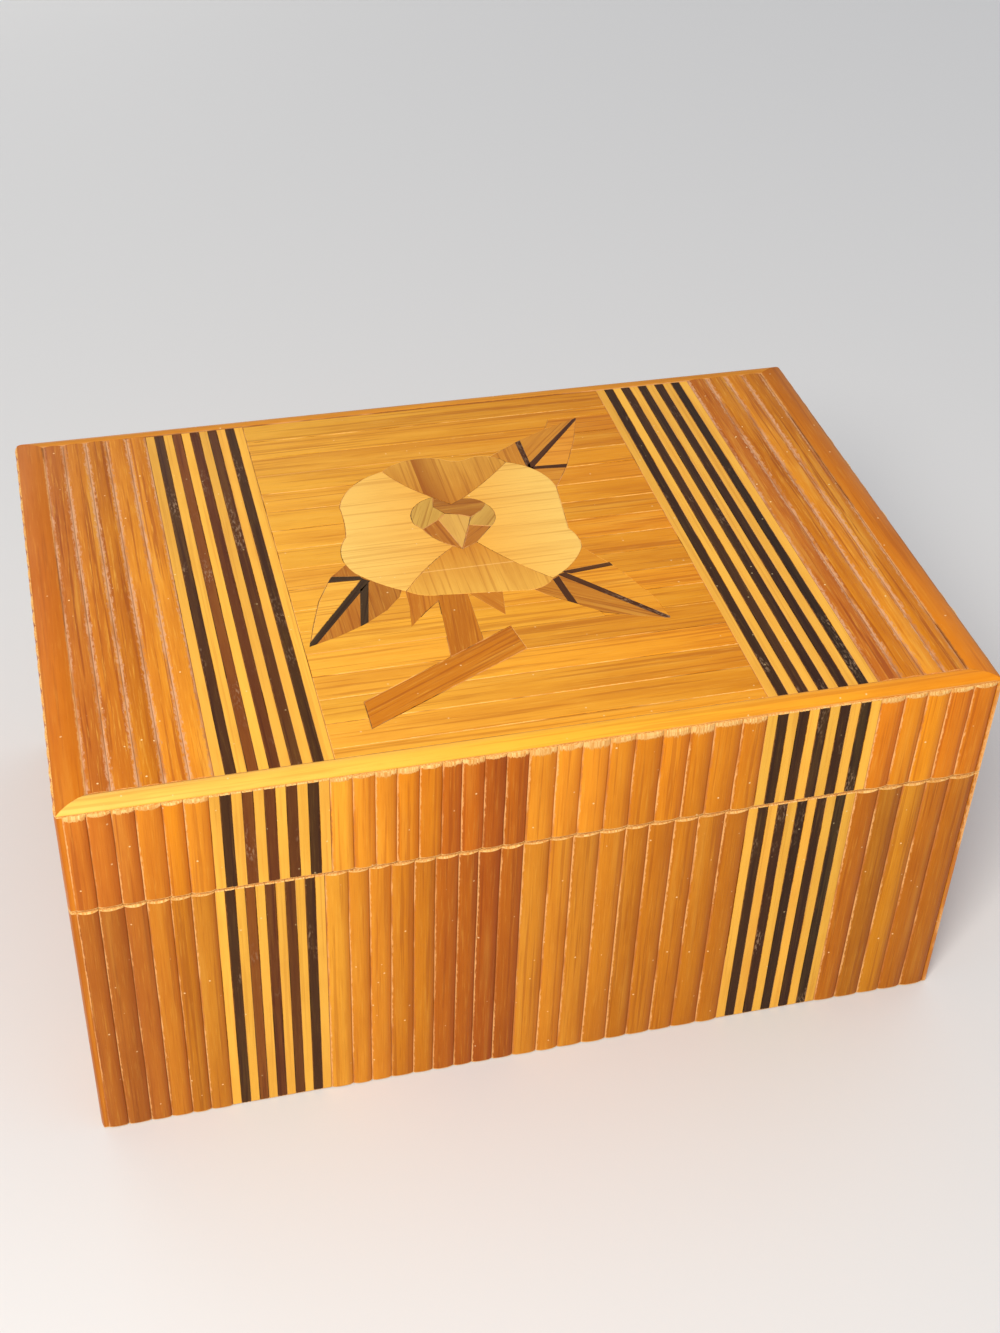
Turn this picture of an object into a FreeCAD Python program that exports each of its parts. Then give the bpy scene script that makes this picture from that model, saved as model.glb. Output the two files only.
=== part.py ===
import FreeCAD, Part
import os
import re
import Sketcher

# A hinged wooden keepsake box. A carcass of plain boards is covered all over
# with thin glued strips: half-round slats, two bands of flat light and dark
# stripes, and an inlaid flower on the lid. The box was covered shut and then
# sawn open, so lid and base carry the same strips.
# X runs to the right, Y to the back and Z up. The origin is the middle of
# the underside, on the surface that the box stands on.

DIMENSIONS = [
    ("overall_depth", 172.0, "front slats to back slats"),
    ("overall_height", 123.0, "underside to the crown of the edging"),
    ("carcass_width", 250.0, "outside of the boards, left to right"),
    ("base_height", 87.6, "underside to the sawn rim of the base"),
    ("saw_kerf", 0.6, "gap between the two rims when shut"),
    ("wall", 7.0, "thickness of the carcass walls"),
    ("bottom_thickness", 4.0, "bottom board"),
    ("top_thickness", 5.0, "board under the covering of the lid"),
    ("covering", 2.0, "slats and edging, board to crown"),
    ("slat_edge", 1.5, "thickness of a slat beside its groove"),
    ("top_slat_crown", 1.9, "slats of the top, board to crown"),
    ("veneer", 1.5, "flat stripes, field strips and inlay"),
    ("glue_line", 0.08, "open joint between strips"),
    ("slat_lift", 0.4, "board edge left bare under the slats"),
    ("corner_setback", 0.6, "side slats start behind the front crown"),
    ("end_bevel", 0.6, "bevel sanded across the front slats' sawn ends"),
    ("lid_left_band_from", -89.3, "striped band on the lid's front"),
    ("lid_left_band_to", -58.9, "its right edge"),
    ("lid_run_change", -6.8, "where the slats change bundle"),
    ("lid_right_band_from", 58.4, "second striped band"),
    ("lid_right_band_to", 91.0, "its right edge"),
    ("base_left_band_from", -89.8, "striped band on the base's front"),
    ("base_left_band_to", -61.0, "its right edge"),
    ("base_run_change", -7.0, "where the slats change bundle"),
    ("base_right_band_from", 57.1, "second striped band"),
    ("base_right_band_to", 88.9, "its right edge"),
    ("field_back", 81.0, "inner edge of the back edging"),
    ("field_front", -79.9, "inner edge of the front edging"),
    ("top_left", -118.5, "inner edge of the left edging"),
    ("top_left_band", -87.0, "striped band on the top"),
    ("field_left", -56.5, "left edge of the inlaid field"),
    ("field_right", 60.3, "right edge of the inlaid field"),
    ("top_right_slats", 92.0, "right edge of the second band"),
    ("top_right", 118.0, "inner edge of the right edging"),
    ("edging_overhang", 1.0, "edging beyond the boards, front and back"),
    ("edging_inner", 1.5, "edging, height at its inner side"),
    ("edging_outer", 0.5, "edging, height of its outer face"),
    ("field_pitch", 9.83, "field strips, front to back"),
    ("field_first_joint", 71.4, "rearmost joint between field strips"),
    ("patch_pitch", 9.4, "field strips to the right of the flower"),
    ("patch_front", -36.73, "joint where those strips end"),
    ("hinge_length", 24.0, "brass butt hinge"),
    ("hinge_offset", 106.0, "hinge centre from the middle of the box"),
    ("hinge_proud", 1.4, "pin axis behind the back slats"),
    ("leaf_thickness", 0.8, "hinge leaf"),
    ("leaf_gap", 0.1, "between the two leaves when shut"),
    ("leaf_on_wall", 5.5, "leaf, measured in from the wall's outside"),
    ("knuckle_radius", 1.9, "outside of the knuckles"),
    ("pin_radius", 1.0, "hinge pin, tight in the base's knuckles"),
    ("running_fit", 0.05, "clearance of the pin in the lid's knuckles"),
    ("knuckle_play", 0.25, "between neighbouring knuckles"),
    ("hinge_room", 0.3, "slats cut away round the hinge"),
]

FRONT_SLATS_LEFT = 6
FRONT_SLATS_RUN = 9
FRONT_SLATS_RIGHT = 5
BACK_SLATS_MIDDLE = 18
END_SLATS = 24
TOP_SLATS_LEFT = 5
TOP_SLATS_RIGHT = 4
BAND_STRIPES = 11
FIELD_STRIPS = 17
PATCH_STRIPS = 11
KNUCKLES = 3

V = FreeCAD.Vector
Turn = FreeCAD.Rotation
UP = V(0, 0, 1)
SIZES = {name: value for name, value, meaning in DIMENSIONS}

doc = FreeCAD.newDocument("tambour_box")
parts = []


def fill_sheet():
    """The sheet of driving dimensions: name, millimetres, meaning."""
    sheet = doc.addObject("Spreadsheet::Sheet", "Sizes")
    for row, (name, value, meaning) in enumerate(DIMENSIONS, start=1):
        sheet.set(f"A{row}", name)
        sheet.set(f"B{row}", str(value))
        sheet.set(f"C{row}", meaning)
        sheet.setAlias(f"B{row}", name)
    doc.recompute()


def formula(text):
    """An expression in which plain size names point into the sheet."""
    return re.sub(r"[a-z_]+", lambda name: sheet_name(name.group()), str(text))


def sheet_name(word):
    return "Sizes." + word if word in SIZES else word


def bind(thing, **formulas):
    """Drives properties from the sheet; x, y and z are the placement."""
    for name, text in formulas.items():
        path = ".Placement.Base." + name if name in ("x", "y", "z") else name
        thing.setExpression(path, formula(text))


def part(thing):
    """Marks an object as a sub-part, which is exported under its label."""
    parts.append(thing)
    return thing


def board(label, place, extent):
    """A plain board, by its low corner and its three sizes."""
    box = doc.addObject("Part::Box", label)
    x, y, z = place
    length, width, height = extent
    bind(box, Length=length, Width=width, Height=height, x=x, y=y, z=z)
    return box


def peg(label, radius, length, place, turn=Turn()):
    """A round bar, along Z unless it is turned."""
    bar = doc.addObject("Part::Cylinder", label)
    bar.Placement.Rotation = turn
    x, y, z = place
    bind(bar, Radius=radius, Height=length, x=x, y=y, z=z)
    return bar


def together(label, members):
    """Like pieces kept as separate solids under one name."""
    group = doc.addObject("Part::Compound", label)
    group.Links = members
    return group


def fused(label, members):
    if len(members) == 1:
        return members[0]
    union = doc.addObject("Part::MultiFuse", label)
    union.Shapes = members
    return union


def cut(label, base, tools):
    """The base less all the tools."""
    remainder = doc.addObject("Part::Cut", label)
    remainder.Base = base
    remainder.Tool = fused(label + "_tools", tools)
    return remainder


def common(label, one, other):
    overlap = doc.addObject("Part::Common", label)
    overlap.Base = one
    overlap.Tool = other
    return overlap


def sketch_on(body, role, name):
    """A sketch on one of the body's own origin planes."""
    plane = [item for item in body.Origin.OriginFeatures if item.Role == role][0]
    sketch = body.newObject("Sketcher::SketchObject", name)
    sketch.AttachmentSupport = (plane, [""])
    sketch.MapMode = "FlatFace"
    return sketch


def loop(sketch, edges):
    """Draws a closed loop of edges, each joined to the next."""
    first = len(sketch.Geometry)
    for edge in edges:
        sketch.addGeometry(edge)
    for step, edge in enumerate(edges):
        this = first + step
        following = first + (step + 1) % len(edges)
        corner = edge.EndPoint
        rule(sketch, "Coincident", this, end_at(sketch, this, corner),
             following, end_at(sketch, following, corner))
    return first


def end_at(sketch, edge, corner):
    """Which end of an edge lies at a corner: a clockwise round is stored turned."""
    start, end = sketch.getPoint(edge, 1), sketch.getPoint(edge, 2)
    return 1 if (start - corner).Length < (end - corner).Length else 2


def polygon(points):
    """The sides of a polygon, in order from its first corner."""
    corners = [V(x, y, 0) for x, y in points]
    return [Part.LineSegment(a, b) for a, b in zip(corners, corners[1:] + corners[:1])]


def rule(sketch, kind, *where):
    return sketch.addConstraint(Sketcher.Constraint(kind, *where))


def measure(sketch, name, kind, one, other, text):
    """A named distance between two points of a sketch, from the sheet."""
    start = sketch.getPoint(*one)
    end = sketch.getPoint(*other)
    gap = end.x - start.x if kind == "DistanceX" else end.y - start.y
    index = rule(sketch, kind, *one, *other, gap)
    sketch.renameConstraint(index, name)
    sketch.setExpression("Constraints." + name, formula(text))


def pad(body, sketch, length, reverse=False):
    feature = body.newObject("PartDesign::Pad", sketch.Name + "_pad")
    feature.Profile = sketch
    feature.Reversed = reverse
    bind(feature, Length=length)
    body.Tip = feature
    doc.recompute()
    return feature


def cut_through(body, sketch):
    """Cuts a sketch through the whole body, both ways."""
    volume = body.Shape.Volume
    feature = body.newObject("PartDesign::Pocket", sketch.Name + "_cut")
    feature.Profile = sketch
    feature.Type = "ThroughAll"
    feature.Midplane = True
    body.Tip = feature
    doc.recompute()
    if body.Shape.Volume >= volume:
        raise RuntimeError(sketch.Name + " cuts nothing")


# The strips
# A row is one strip, padded and repeated. In its own frame it runs along X
# from the origin, its strips are long in Y and its outer faces look up Z.


def strip_section(body, role, width, near, far, crown=""):
    """Section of a strip on its flat base, flat or rounded on top."""
    sketch = sketch_on(body, role, body.Name + "_section")
    corners = [(0, 0), (6, 0), (6, 1), (0, 1)]
    sides = polygon(corners)
    if crown:
        sides[2] = Part.Arc(V(6, 1, 0), V(3, 2, 0), V(0, 1, 0))
    loop(sketch, sides)
    rule(sketch, "Coincident", 0, 1, -1, 1)
    rule(sketch, "Horizontal", 0)
    rule(sketch, "Vertical", 1)
    rule(sketch, "Vertical", 3)
    if crown:
        line = sketch.addGeometry(Part.LineSegment(V(0, 2, 0), V(6, 2, 0)), True)
        rule(sketch, "Horizontal", line)
        rule(sketch, "Tangent", 2, line)
        measure(sketch, "crown", "DistanceY", (-1, 1), (line, 1), crown)
    measure(sketch, "width", "DistanceX", (0, 1), (0, 2), width)
    measure(sketch, "near", "DistanceY", (0, 1), (3, 1), near)
    measure(sketch, "far", "DistanceY", (1, 1), (1, 2), far)
    return sketch


def bevel_corner(sketch, name, length):
    """A 45 degree cut across the crown, at one end of the strips."""
    clear = 0.5
    reach = f"end_bevel + {2 * clear}"
    inward = 1 if length == "0" else -1
    corner, inner, lower = (0, 4), (inward * 2, 4), (0, 2)
    side = loop(sketch, polygon([corner, inner, lower]))
    rule(sketch, "Horizontal", side)
    rule(sketch, "Vertical", side + 2)
    ends = [(side, 1), (side, 2)] if inward > 0 else [(side, 2), (side, 1)]
    measure(sketch, name + "_in", "DistanceX", *ends, reach)
    measure(sketch, name + "_down", "DistanceY", (side + 2, 1), (side + 2, 2), reach)
    measure(sketch, name + "_up", "DistanceY", (-1, 1), (side, 1), f"covering + {clear}")
    measure(sketch, name + "_at", "DistanceX", (-1, 1), (side, 1), f"{length} - {inward * clear}")


def strip_row(label, span, cells, length, crown="", every=1, skip=0):
    """A row that divides a span into cells and fills all or some of them."""
    body = doc.addObject("PartDesign::Body", label)
    pitch = f"({span}) / {cells}"
    edge = "slat_edge" if crown else "veneer"
    section = strip_section(body, "XZ_Plane", f"{pitch} - glue_line", edge, edge, crown)
    strip = pad(body, section, length, reverse=True)
    number = len(range(skip, cells, every))
    row = body.newObject("PartDesign::LinearPattern", label + "_row")
    row.Originals = [strip]
    row.Direction = (section, ["H_Axis"])
    row.Occurrences = number
    bind(row, Length=f"({pitch}) * {(number - 1) * every}")
    body.Tip = row
    doc.recompute()
    return body


def bevel_ends(body, length, ends):
    """Bevels the low ends, the high ends or both of a row of slats."""
    sketch = sketch_on(body, "YZ_Plane", body.Name + "_bevels")
    if "low" in ends:
        bevel_corner(sketch, "low", "0")
    if "high" in ends:
        bevel_corner(sketch, "high", length)
    cut_through(body, sketch)


# The upright faces

HALVES = {
    "base": ("slat_lift", "base_height"),
    "lid": ("base_height + saw_kerf", "overall_height - covering"),
}
LEFT = "-carcass_width / 2"
RIGHT = "carcass_width / 2"
BOARD_BACK = "(overall_depth / 2 - covering)"
FACES = {"front": 0, "right": 90, "back": 180, "left": -90}


def upright_row(label, half, face, zone, cells, crown="covering", every=1, skip=0):
    """A row on an upright face, over a zone given by its two edges."""
    low, high = HALVES[half]
    first, last = zone
    span = f"({last}) - ({first})"
    length = f"{high} - ({low})"
    body = strip_row(label, span, cells, length, crown, every, skip)
    if face == "front" and crown:
        bevel_ends(body, length, ("high",) if half == "base" else ("low", "high"))
    body.Placement.Rotation = Turn(UP, FACES[face]) * Turn(V(1, 0, 0), 90)
    shift = f"({span}) / {cells} * {skip}"
    if face == "front":
        bind(body, x=f"{first} + {shift}", y="-" + BOARD_BACK, z=low)
    if face == "back":
        bind(body, x=f"{last} - {shift}", y=BOARD_BACK, z=low)
    if face == "left":
        bind(body, x=LEFT, y=last, z=low)
    if face == "right":
        bind(body, x=RIGHT, y=first, z=low)
    return body


def stripes(half, face):
    """Flat stripes of both bands on a face: the light, then the dark."""
    for tone, skip in (("light", 0), ("dark", 1)):
        rows = []
        for side in ("left", "right"):
            zone = (f"{half}_{side}_band_from", f"{half}_{side}_band_to")
            label = f"{half}_{face}_{side}_{tone}"
            rows.append(upright_row(label, half, face, zone, BAND_STRIPES, "", 2, skip))
        part(together(f"{half}_{face}_{tone}_stripes", rows))


def front_covering(half):
    """Four runs of slats on the front, with the bands between them."""
    runs = [
        ("left", LEFT, f"{half}_left_band_from", FRONT_SLATS_LEFT),
        ("middle_left", f"{half}_left_band_to", f"{half}_run_change", FRONT_SLATS_RUN),
        ("middle_right", f"{half}_run_change", f"{half}_right_band_from", FRONT_SLATS_RUN),
        ("right", f"{half}_right_band_to", RIGHT, FRONT_SLATS_RIGHT),
    ]
    for name, first, last, cells in runs:
        part(upright_row(f"{half}_front_slats_{name}", half, "front", (first, last), cells))
    stripes(half, "front")


def back_covering(half):
    """Slats and bands of the back, cut away round the two hinges."""
    runs = [
        ("left", LEFT, f"{half}_left_band_from", FRONT_SLATS_LEFT),
        ("middle", f"{half}_left_band_to", f"{half}_right_band_from", BACK_SLATS_MIDDLE),
        ("right", f"{half}_right_band_to", RIGHT, FRONT_SLATS_RIGHT),
    ]
    rows = []
    for name, first, last, cells in runs:
        rows.append(upright_row(f"{half}_back_{name}", half, "back", (first, last), cells))
    slats = together(f"{half}_back_rows", rows)
    notches = [hinge_notch(half, side) for side in HINGE_SIDES]
    part(cut(f"{half}_back_slats", slats, notches))
    stripes(half, "back")


def end_covering(half):
    """Slats of the two ends of the box."""
    run = "(overall_depth / 2 - corner_setback)"
    for face in ("left", "right"):
        part(upright_row(f"{half}_{face}_slats", half, face, ("-" + run, run), END_SLATS))


# The carcass
# Front and back walls run the full width, with the side walls and the bottom
# board let in between them. The lid's walls carry the top board.

WALLS = {
    "base": ("0", "base_height"),
    "lid": ("base_height + saw_kerf", "overall_height - covering - top_thickness"),
}


def walls(half):
    low, high = WALLS[half]
    rise = f"{high} - ({low})"
    inner = "2 * (overall_depth / 2 - covering - wall)"
    front = (LEFT, "-" + BOARD_BACK, low)
    part(board(f"{half}_front_wall", front, ("carcass_width", "wall", rise)))
    back = board(f"{half}_back_board", (LEFT, BOARD_BACK + " - wall", low),
                 ("carcass_width", "wall", rise))
    seats = [hinge_seat(half, side) for side in HINGE_SIDES]
    part(cut(f"{half}_back_wall", back, seats))
    for side, x in (("left", LEFT), ("right", RIGHT + " - wall")):
        part(board(f"{half}_{side}_wall", (x, "-" + BOARD_BACK + " + wall", low),
                   ("wall", inner, rise)))


def bottom_board():
    inner_width = "carcass_width - 2 * wall"
    inner_depth = "2 * (overall_depth / 2 - covering - wall)"
    place = (LEFT + " + wall", "-" + BOARD_BACK + " + wall", "0")
    part(board("bottom_board", place, (inner_width, inner_depth, "bottom_thickness")))


def lid_top_board():
    place = (LEFT, "-" + BOARD_BACK, "overall_height - covering - top_thickness")
    depth = "2 * " + BOARD_BACK
    part(board("lid_top_board", place, ("carcass_width", depth, "top_thickness")))


# The hinges
# Two brass butt hinges with three knuckles each. Their leaves are let into
# the sawn rims, and close on each other inside the kerf.

HINGE_SIDES = {"left": "-hinge_offset", "right": "hinge_offset"}
PIN_Y = "(overall_depth / 2 + hinge_proud)"
PIN_Z = "(base_height + saw_kerf / 2)"
ALONG_X = Turn(V(0, 1, 0), 90)
LEAF_FROM = f"({BOARD_BACK} - leaf_on_wall)"


def leaf_low(half):
    """Underside of a leaf: the base's is under the gap, the lid's above."""
    if half == "base":
        return f"{PIN_Z} - leaf_gap / 2 - leaf_thickness"
    return f"{PIN_Z} + leaf_gap / 2"


def knuckle_x(side, number):
    return f"{HINGE_SIDES[side]} - hinge_length / 2 + hinge_length * {number} / {KNUCKLES}"


def hinge_seat(half, side):
    """Mortise for one leaf in the rim of a back wall."""
    return board(f"{half}_{side}_mortise",
                 (HINGE_SIDES[side] + " - hinge_length / 2", LEAF_FROM, leaf_low(half)),
                 ("hinge_length", "leaf_on_wall + covering", "leaf_thickness"))


def hinge_notch(half, side):
    """Room for the knuckles through the back slats."""
    reach = "(knuckle_radius + hinge_room)"
    low = f"{PIN_Z} - {reach}" if half == "base" else PIN_Z
    return board(f"{half}_{side}_notch",
                 (f"{HINGE_SIDES[side]} - hinge_length / 2 - hinge_room", BOARD_BACK, low),
                 ("hinge_length + 2 * hinge_room", "2 * covering", reach))


def hinge_leaf(half, side):
    """A leaf with its own knuckles, notched round those of the other."""
    label = f"{side}_hinge_{half}_leaf"
    middle = HINGE_SIDES[side]
    plate = board(label + "_plate", (middle + " - hinge_length / 2", LEAF_FROM, leaf_low(half)),
                  ("hinge_length", f"{PIN_Y} - {LEAF_FROM}", "leaf_thickness"))
    own = 0 if half == "base" else 1
    knuckles = []
    notches = []
    for number in range(KNUCKLES):
        x = knuckle_x(side, number)
        width = f"hinge_length / {KNUCKLES}"
        if number % 2 == own:
            knuckles.append(peg(f"{label}_knuckle_{number}", "knuckle_radius",
                                f"{width} - knuckle_play",
                                (f"{x} + knuckle_play / 2", PIN_Y, PIN_Z), ALONG_X))
        else:
            notches.append(board(f"{label}_notch_{number}",
                                 (f"{x} - knuckle_play / 2",
                                  f"{PIN_Y} - knuckle_radius - knuckle_play",
                                  f"{PIN_Z} - knuckle_radius"),
                                 (f"{width} + knuckle_play", "2 * knuckle_radius",
                                  "2 * knuckle_radius")))
    notched = cut(label + "_notched", plate, notches)
    bore_radius = "pin_radius" if half == "base" else "pin_radius + running_fit"
    bore = peg(label + "_bore", bore_radius, "2 * hinge_length",
               (middle + " - hinge_length", PIN_Y, PIN_Z), ALONG_X)
    solid = fused(label + "_solid", [notched] + knuckles)
    part(cut(label, solid, [bore]))


def hinge_pin(side):
    part(peg(f"{side}_hinge_pin", "pin_radius", "hinge_length",
             (HINGE_SIDES[side] + " - hinge_length / 2", PIN_Y, PIN_Z), ALONG_X))


# The top
# Slats and bands run front to back, inside a mitred edging. The field's
# strips run across, and the inlay is let in flush with them.

TOP = "overall_height - covering"
TOP_DEPTH = "field_back - field_front"


def top_row(label, first, last, cells, crown="", every=1, skip=0):
    span = f"{last} - {first}"
    row = strip_row(label, span, cells, TOP_DEPTH, crown, every, skip)
    bind(row, x=f"{first} + ({span}) / {cells} * {skip}", y="field_front", z=TOP)
    return row


def top_covering():
    part(top_row("top_slats_left", "top_left", "top_left_band", TOP_SLATS_LEFT, "top_slat_crown"))
    part(top_row("top_slats_right", "top_right_slats", "top_right", TOP_SLATS_RIGHT,
                 "top_slat_crown"))
    bands = (("top_left_band", "field_left"), ("field_right", "top_right_slats"))
    for tone, skip in (("light", 0), ("dark", 1)):
        rows = []
        for number, (first, last) in enumerate(bands, start=1):
            label = f"top_band_{number}_{tone}"
            rows.append(top_row(label, first, last, BAND_STRIPES, "", 2, skip))
        part(together(f"top_{tone}_stripes", rows))


def edging(name, angle, inner, outer, width, place):
    """One side of the edging: a rounded bar, mitred in plan at both ends."""
    turn = Turn(UP, angle)
    bar = doc.addObject("PartDesign::Body", f"edging_{name}_bar")
    section = strip_section(bar, "YZ_Plane", width, "edging_inner", "edging_outer", "covering")
    feature = pad(bar, section, "2 * carcass_width")
    feature.Midplane = True
    mitre = doc.addObject("Part::Wedge", f"edging_{name}_mitre")
    bind(mitre, Ymin="0", Ymax=width, Zmin="0", Z2min="0", Zmax="covering", Z2max="covering",
         Xmin=inner[0], Xmax=inner[1], X2min=outer[0], X2max=outer[1])
    for thing in (bar, mitre):
        thing.Placement.Rotation = turn
        bind(thing, x=place[0], y=place[1], z=TOP)
    part(common(f"edging_{name}", bar, mitre))


def edgings():
    outer_x = "carcass_width / 2"
    outer_y = f"({BOARD_BACK} + edging_overhang)"
    across = ("-" + outer_x, outer_x)
    along = ("-" + outer_y, outer_y)
    edging("front", 180, ("-top_right", "-top_left"), across,
           f"{outer_y} + field_front", ("0", "field_front"))
    edging("back", 0, ("top_left", "top_right"), across,
           f"{outer_y} - field_back", ("0", "field_back"))
    edging("right", -90, ("-field_back", "-field_front"), along,
           "carcass_width / 2 - top_right", ("top_right", "0"))
    edging("left", 90, ("field_front", "field_back"), along,
           "carcass_width / 2 + top_left", ("top_left", "0"))


# The inlay
# An outline starts at a point. Two numbers run straight to a point, and four
# run through the first point to the second as a round.

TRIANGLE = [(-7.2, 18.6), (-4.6, 21.4), (-0.8, 20.2), (2.6, 18.2), (1.02, 14.2), (-3.6, 2.6)]
LEFT_LOBE = [(-6.2, 30.5), (-13.8, 25, -14.6, 17.5), (-12.8, 14.7), (-7.2, 18.6),
             (-4.6, 21.4), (-7.3, 25.5)]
FAN = [(-6.2, 30.5), (-1.6, 25.6), (2.2, 28), (6.2, 26.9, 8.6, 24), (6.5, 21),
       (2.6, 18.2), (-0.8, 20.2), (-4.6, 21.4), (-7.3, 25.5)]
RIGHT_LOBE = [(8.6, 24), (10.1, 18.5, 7.4, 12.3), (1.02, 14.2), (2.6, 18.2), (6.5, 21)]
RIGHT_WEDGE = [(1.02, 14.2), (7.4, 12.3), (1.3, 5.2), (-3.6, 2.6)]
LEFT_WEDGE = [(-12.8, 14.7), (-7.2, 18.6), (-3.6, 2.6), (-5.8, 4.6), (-10, 8.9, -12.8, 14.7)]
CENTRE = [TRIANGLE, LEFT_LOBE, FAN, RIGHT_LOBE, RIGHT_WEDGE, LEFT_WEDGE]

LEFT_PETAL = [(-18.3, 47.3), (-29, 41, -34.8, 30.5), (-34.9, 22, -35.8, 15),
              (-38.8, 5, -36.5, -3), (-31, -9, -24, -14.3), (-14.5, -3, -5.8, 4.6),
              (-5.8, 17.5), (-6.2, 30.5), (-12.5, 37.5, -18.3, 47.3)]
RIGHT_PETAL = [(20.3, 45), (27.8, 39.5, 32, 28.5), (31, 19, 29.6, 6.5),
               (31.2, 1, 30.8, -3.5), (25.3, -11.3, 18.5, -16.5), (9.5, -6.5, 1.3, 5.2),
               (1, 16), (2.2, 28), (11, 35.5, 20.3, 45)]
TOP_PETAL = [(-18.3, 47.3), (-9, 52, 1, 50.6), (5.5, 48.6, 10, 49.6), (16, 49.3, 20.3, 45),
             (8, 30), (-1.6, 25), (-10, 30)]
BOTTOM_PETAL = [(18.5, -16.5), (14.5, -20, 9, -20.6), (-2, -19.4, -15, -18),
                (-20.5, -16.8, -24, -14.3), (-10, 6), (6, 6)]

LEAVES = [
    [(16.5, 49.3), (27, 56), (36.5, 60.8), (49, 66), (44.5, 53), (38.9, 40.4), (36.5, 36),
     (32, 28.5), (24, 36)],
    [(30.8, -3.5), (34, -9), (37.2, -14), (41, -23), (44.2, -31), (45.6, -41.3), (37, -38.5),
     (28, -35), (22, -30), (14.5, -23.8), (11.5, -20.5), (14, -10)],
    [(-38.5, 1.5), (-43.8, -3.6), (-49, -14), (-52.5, -25), (-55, -33.7), (-46.5, -30.8),
     (-38.5, -27), (-31, -21.8), (-26.5, -16.5), (-22, -6)],
]
VEINS = [
    [(26.6, 42.2), (47.5, 65.2), (49, 66), (48.6, 64.6), (28.8, 41.4), (25, 36)],
    [(26, 42.5), (26, 55.4), (27.8, 56.3), (27.6, 43.5), (27, 38)],
    [(28.8, 41), (38.9, 40.4), (38, 38.5), (28.5, 39.5), (25, 40)],
    [(20.2, -15.4), (22.6, -14.6), (45.8, -40.5), (45.6, -41.3), (44.2, -41)],
    [(22.8, -13.8), (36.6, -12.4), (37.2, -14.2), (24, -15.6), (18, -12)],
    [(18.2, -17.2), (20.3, -16), (22, -30), (19.6, -28.1)],
    [(-35, -5.8), (-33, -7.4), (-52.8, -32.9), (-55, -33.7), (-54.6, -32)],
    [(-43.3, -3.2), (-35.6, -4.6), (-34.6, -6.3), (-44.9, -5.8)],
    [(-33.6, -8), (-37.2, -26.2), (-39.7, -27.6), (-36.6, -10.8)],
]
SEPALS = [
    [(-24, -12), (-24.6, -21.5), (-26, -30.6), (-21, -25), (-15.4, -19.6), (-16, -12)],
    [(-6.7, -19), (0.8, -30.5), (2.6, -20.2), (0, -12)],
]
STEM = [(-15.2, -12), (-7, -12), (-8, -42), (-18.7, -50)]
BRANCH = [(-45, -59.3), (1, -35.6), (2.8, -46.3), (-45, -70.3)]
PATCH = [(40, 66.67), (60.3, 66.67), (60.3, -36.73), (28, -36.73), (20, -15), (0, 15), (27, 40)]


def inlay(label, outline):
    """One veneer piece, sawn to its outline."""
    body = doc.addObject("PartDesign::Body", label)
    sketch = sketch_on(body, "XY_Plane", label + "_outline")
    here = V(*outline[0], 0)
    edges = []
    for step in outline[1:]:
        end = V(*step[-2:], 0)
        if len(step) == 4:
            edges.append(Part.Arc(here, V(*step[:2], 0), end))
        else:
            edges.append(Part.LineSegment(here, end))
        here = end
    if len(outline[-1]) == 2 or outline[-1][-2:] != outline[0]:
        edges.append(Part.LineSegment(here, V(*outline[0], 0)))
    loop(sketch, edges)
    pad(body, sketch, "veneer")
    bind(body, z=TOP)
    return body


def inlays(label, outlines):
    return [inlay(f"{label}_{number}", outline) for number, outline in enumerate(outlines, 1)]


def flower():
    """The flower and its leaves, each piece let in round those before it."""
    centre = inlays("centre", CENTRE)
    part(together("flower_centre", centre))
    middle = fused("whole_centre", centre)
    sides = [cut(blank.Name + "_sawn", blank, [middle])
             for blank in inlays("side_petal", [LEFT_PETAL, RIGHT_PETAL])]
    part(together("flower_side_petals", sides))
    inner = fused("centre_and_sides", [middle] + sides)
    top = part(cut("flower_top_petal", inlay("top_petal_blank", TOP_PETAL), [inner]))
    bottom = part(cut("flower_bottom_petal", inlay("bottom_petal_blank", BOTTOM_PETAL), [inner]))
    petals = fused("whole_flower", [inner, top, bottom])
    veins = [cut(blank.Name + "_sawn", blank, [petals]) for blank in inlays("vein", VEINS)]
    part(together("leaf_veins", veins))
    around_leaf = fused("flower_and_veins", [petals] + veins)
    blades = [cut(blank.Name + "_sawn", blank, [around_leaf])
              for blank in inlays("blade", LEAVES)]
    part(together("leaf_blades", blades))
    branch = part(inlay("flower_branch", BRANCH))
    stem = part(cut("flower_stem", inlay("stem_blank", STEM), [petals, branch]))
    sepals = [cut(blank.Name + "_sawn", blank, [petals, stem])
              for blank in inlays("sepal", SEPALS)]
    part(together("flower_sepals", sepals))
    return [around_leaf, branch, stem] + blades + sepals


def field(inlaid):
    """Strips of the field: full rows, and a patch right of the flower."""
    width = "field_right - field_left"
    depth = "field_back - field_front"
    slab = board("field_slab", ("field_left", "field_front", TOP), (width, depth, "veneer"))
    patch = inlay("field_patch", PATCH)
    rows = field_rows("field_row", "field_first_joint + field_pitch", "field_pitch", FIELD_STRIPS)
    patch_back = f"patch_front + {PATCH_STRIPS} * patch_pitch"
    patch_rows = field_rows("patch_row", patch_back, "patch_pitch", PATCH_STRIPS)
    around = common("field_around", rows, cut("field_less_patch", slab, [patch]))
    beside = common("field_beside", patch_rows, common("patch_in_field", patch, slab))
    part(cut("field_strips", together("field_sawn", [around, beside]), inlaid))


def field_rows(label, back, pitch, count):
    """Strips laid across the field, the first of them at the back."""
    width = "field_right - field_left"
    rows = strip_row(label, f"{count} * {pitch}", count, width)
    rows.Placement.Rotation = Turn(UP, -90)
    bind(rows, x="field_left", y=back, z=TOP)
    return rows


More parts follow.
